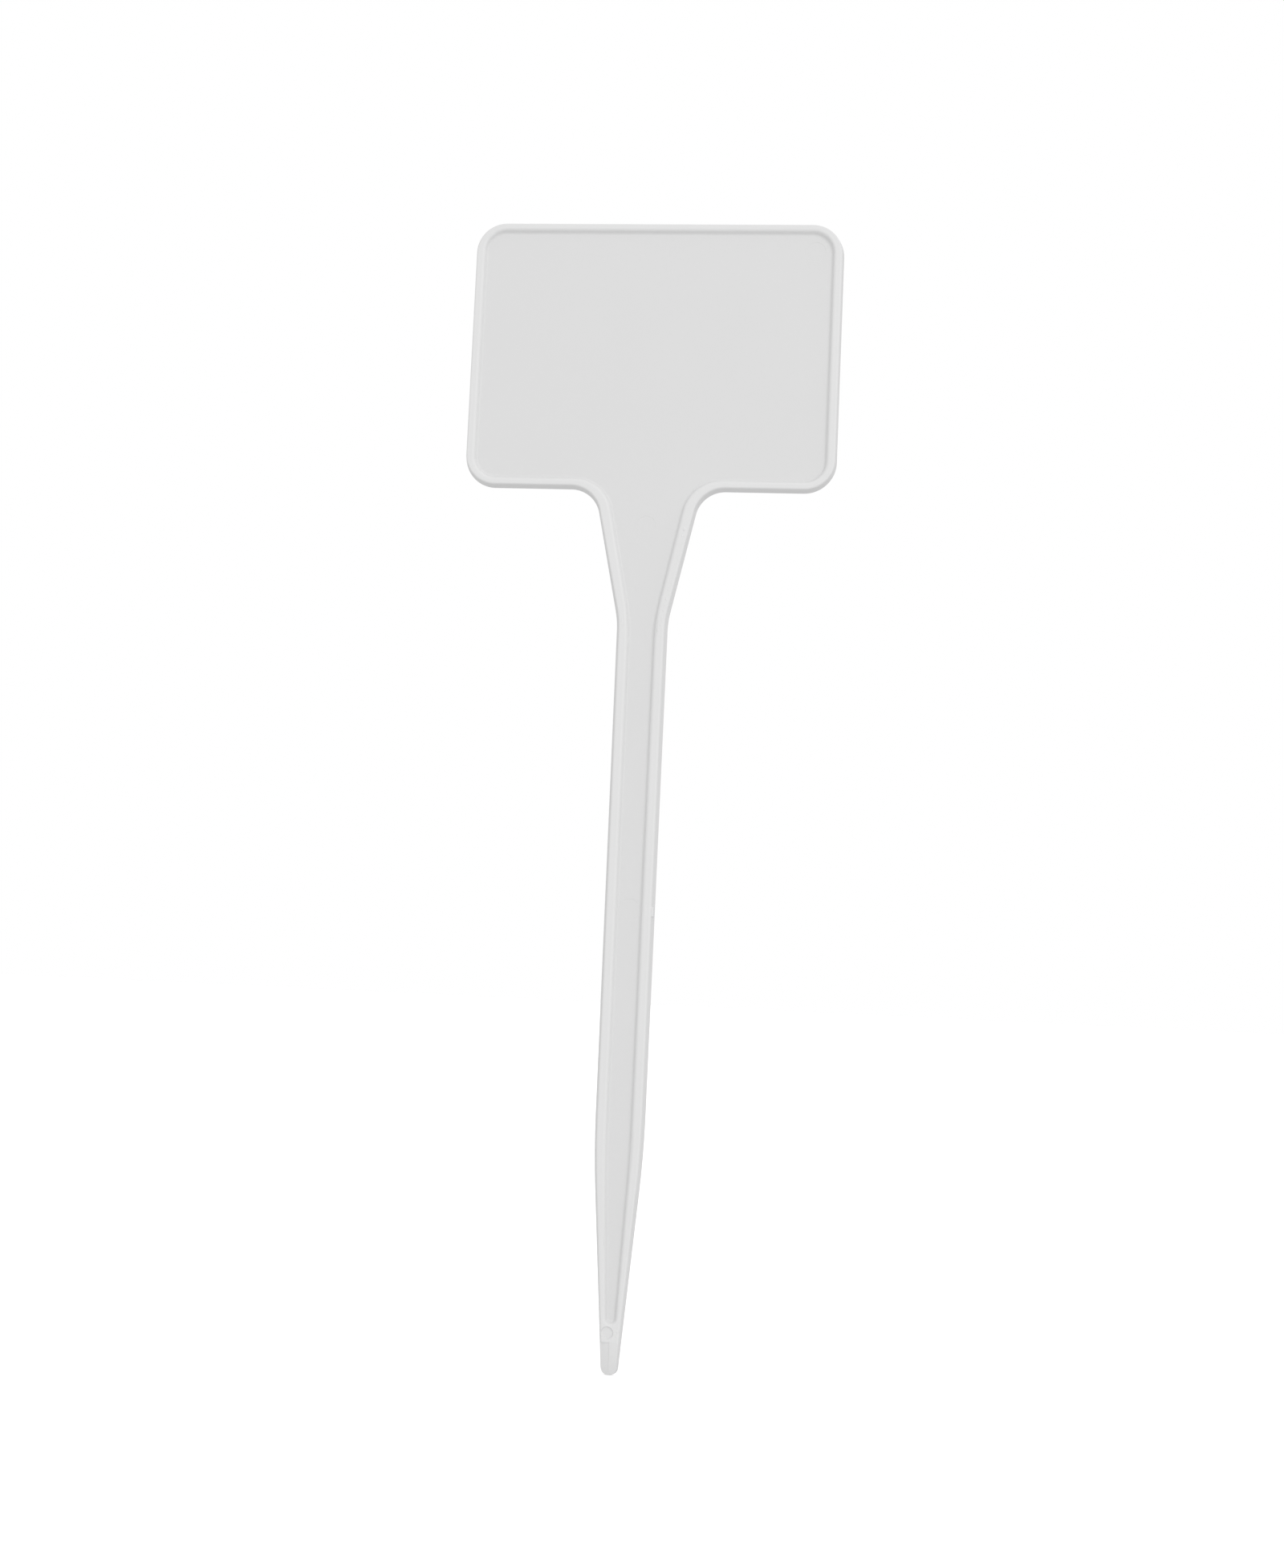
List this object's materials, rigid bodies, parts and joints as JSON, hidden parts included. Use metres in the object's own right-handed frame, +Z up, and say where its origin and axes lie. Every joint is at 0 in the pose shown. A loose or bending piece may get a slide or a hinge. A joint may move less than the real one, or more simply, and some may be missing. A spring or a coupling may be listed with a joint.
{
  "type": "plant label stake",
  "caption": "T-shaped moulded plastic plant label: wide recessed head, tapering neck and a flanged stem that ends in a solid point.",
  "frame": {"origin": "the tip of the point, in the middle of the stake's depth", "axes": "+Z up the stem to the head's top edge, the recessed label field faces -Y, +X to the reader's right"},
  "size_m": [0.082, 0.0024, 0.25],
  "materials": {
    "web_plastic": "white, fine matt moulded sheet",
    "border_plastic": "white, smooth satin moulded border"
  },
  "bodies": {
    "root": {"label_panel": "web_plastic", "neck_web": "web_plastic", "stem_web": "web_plastic", "rim_top": "border_plastic", "rim_left": "border_plastic", "rim_right": "border_plastic", "shoulder_left": "border_plastic", "shoulder_right": "border_plastic", "neck_flange_left": "border_plastic", "neck_flange_right": "border_plastic", "stem_flange_left": "border_plastic", "stem_flange_right": "border_plastic", "solid_point": "border_plastic", "gate_stub": "border_plastic"}
  },
  "joints": []
}
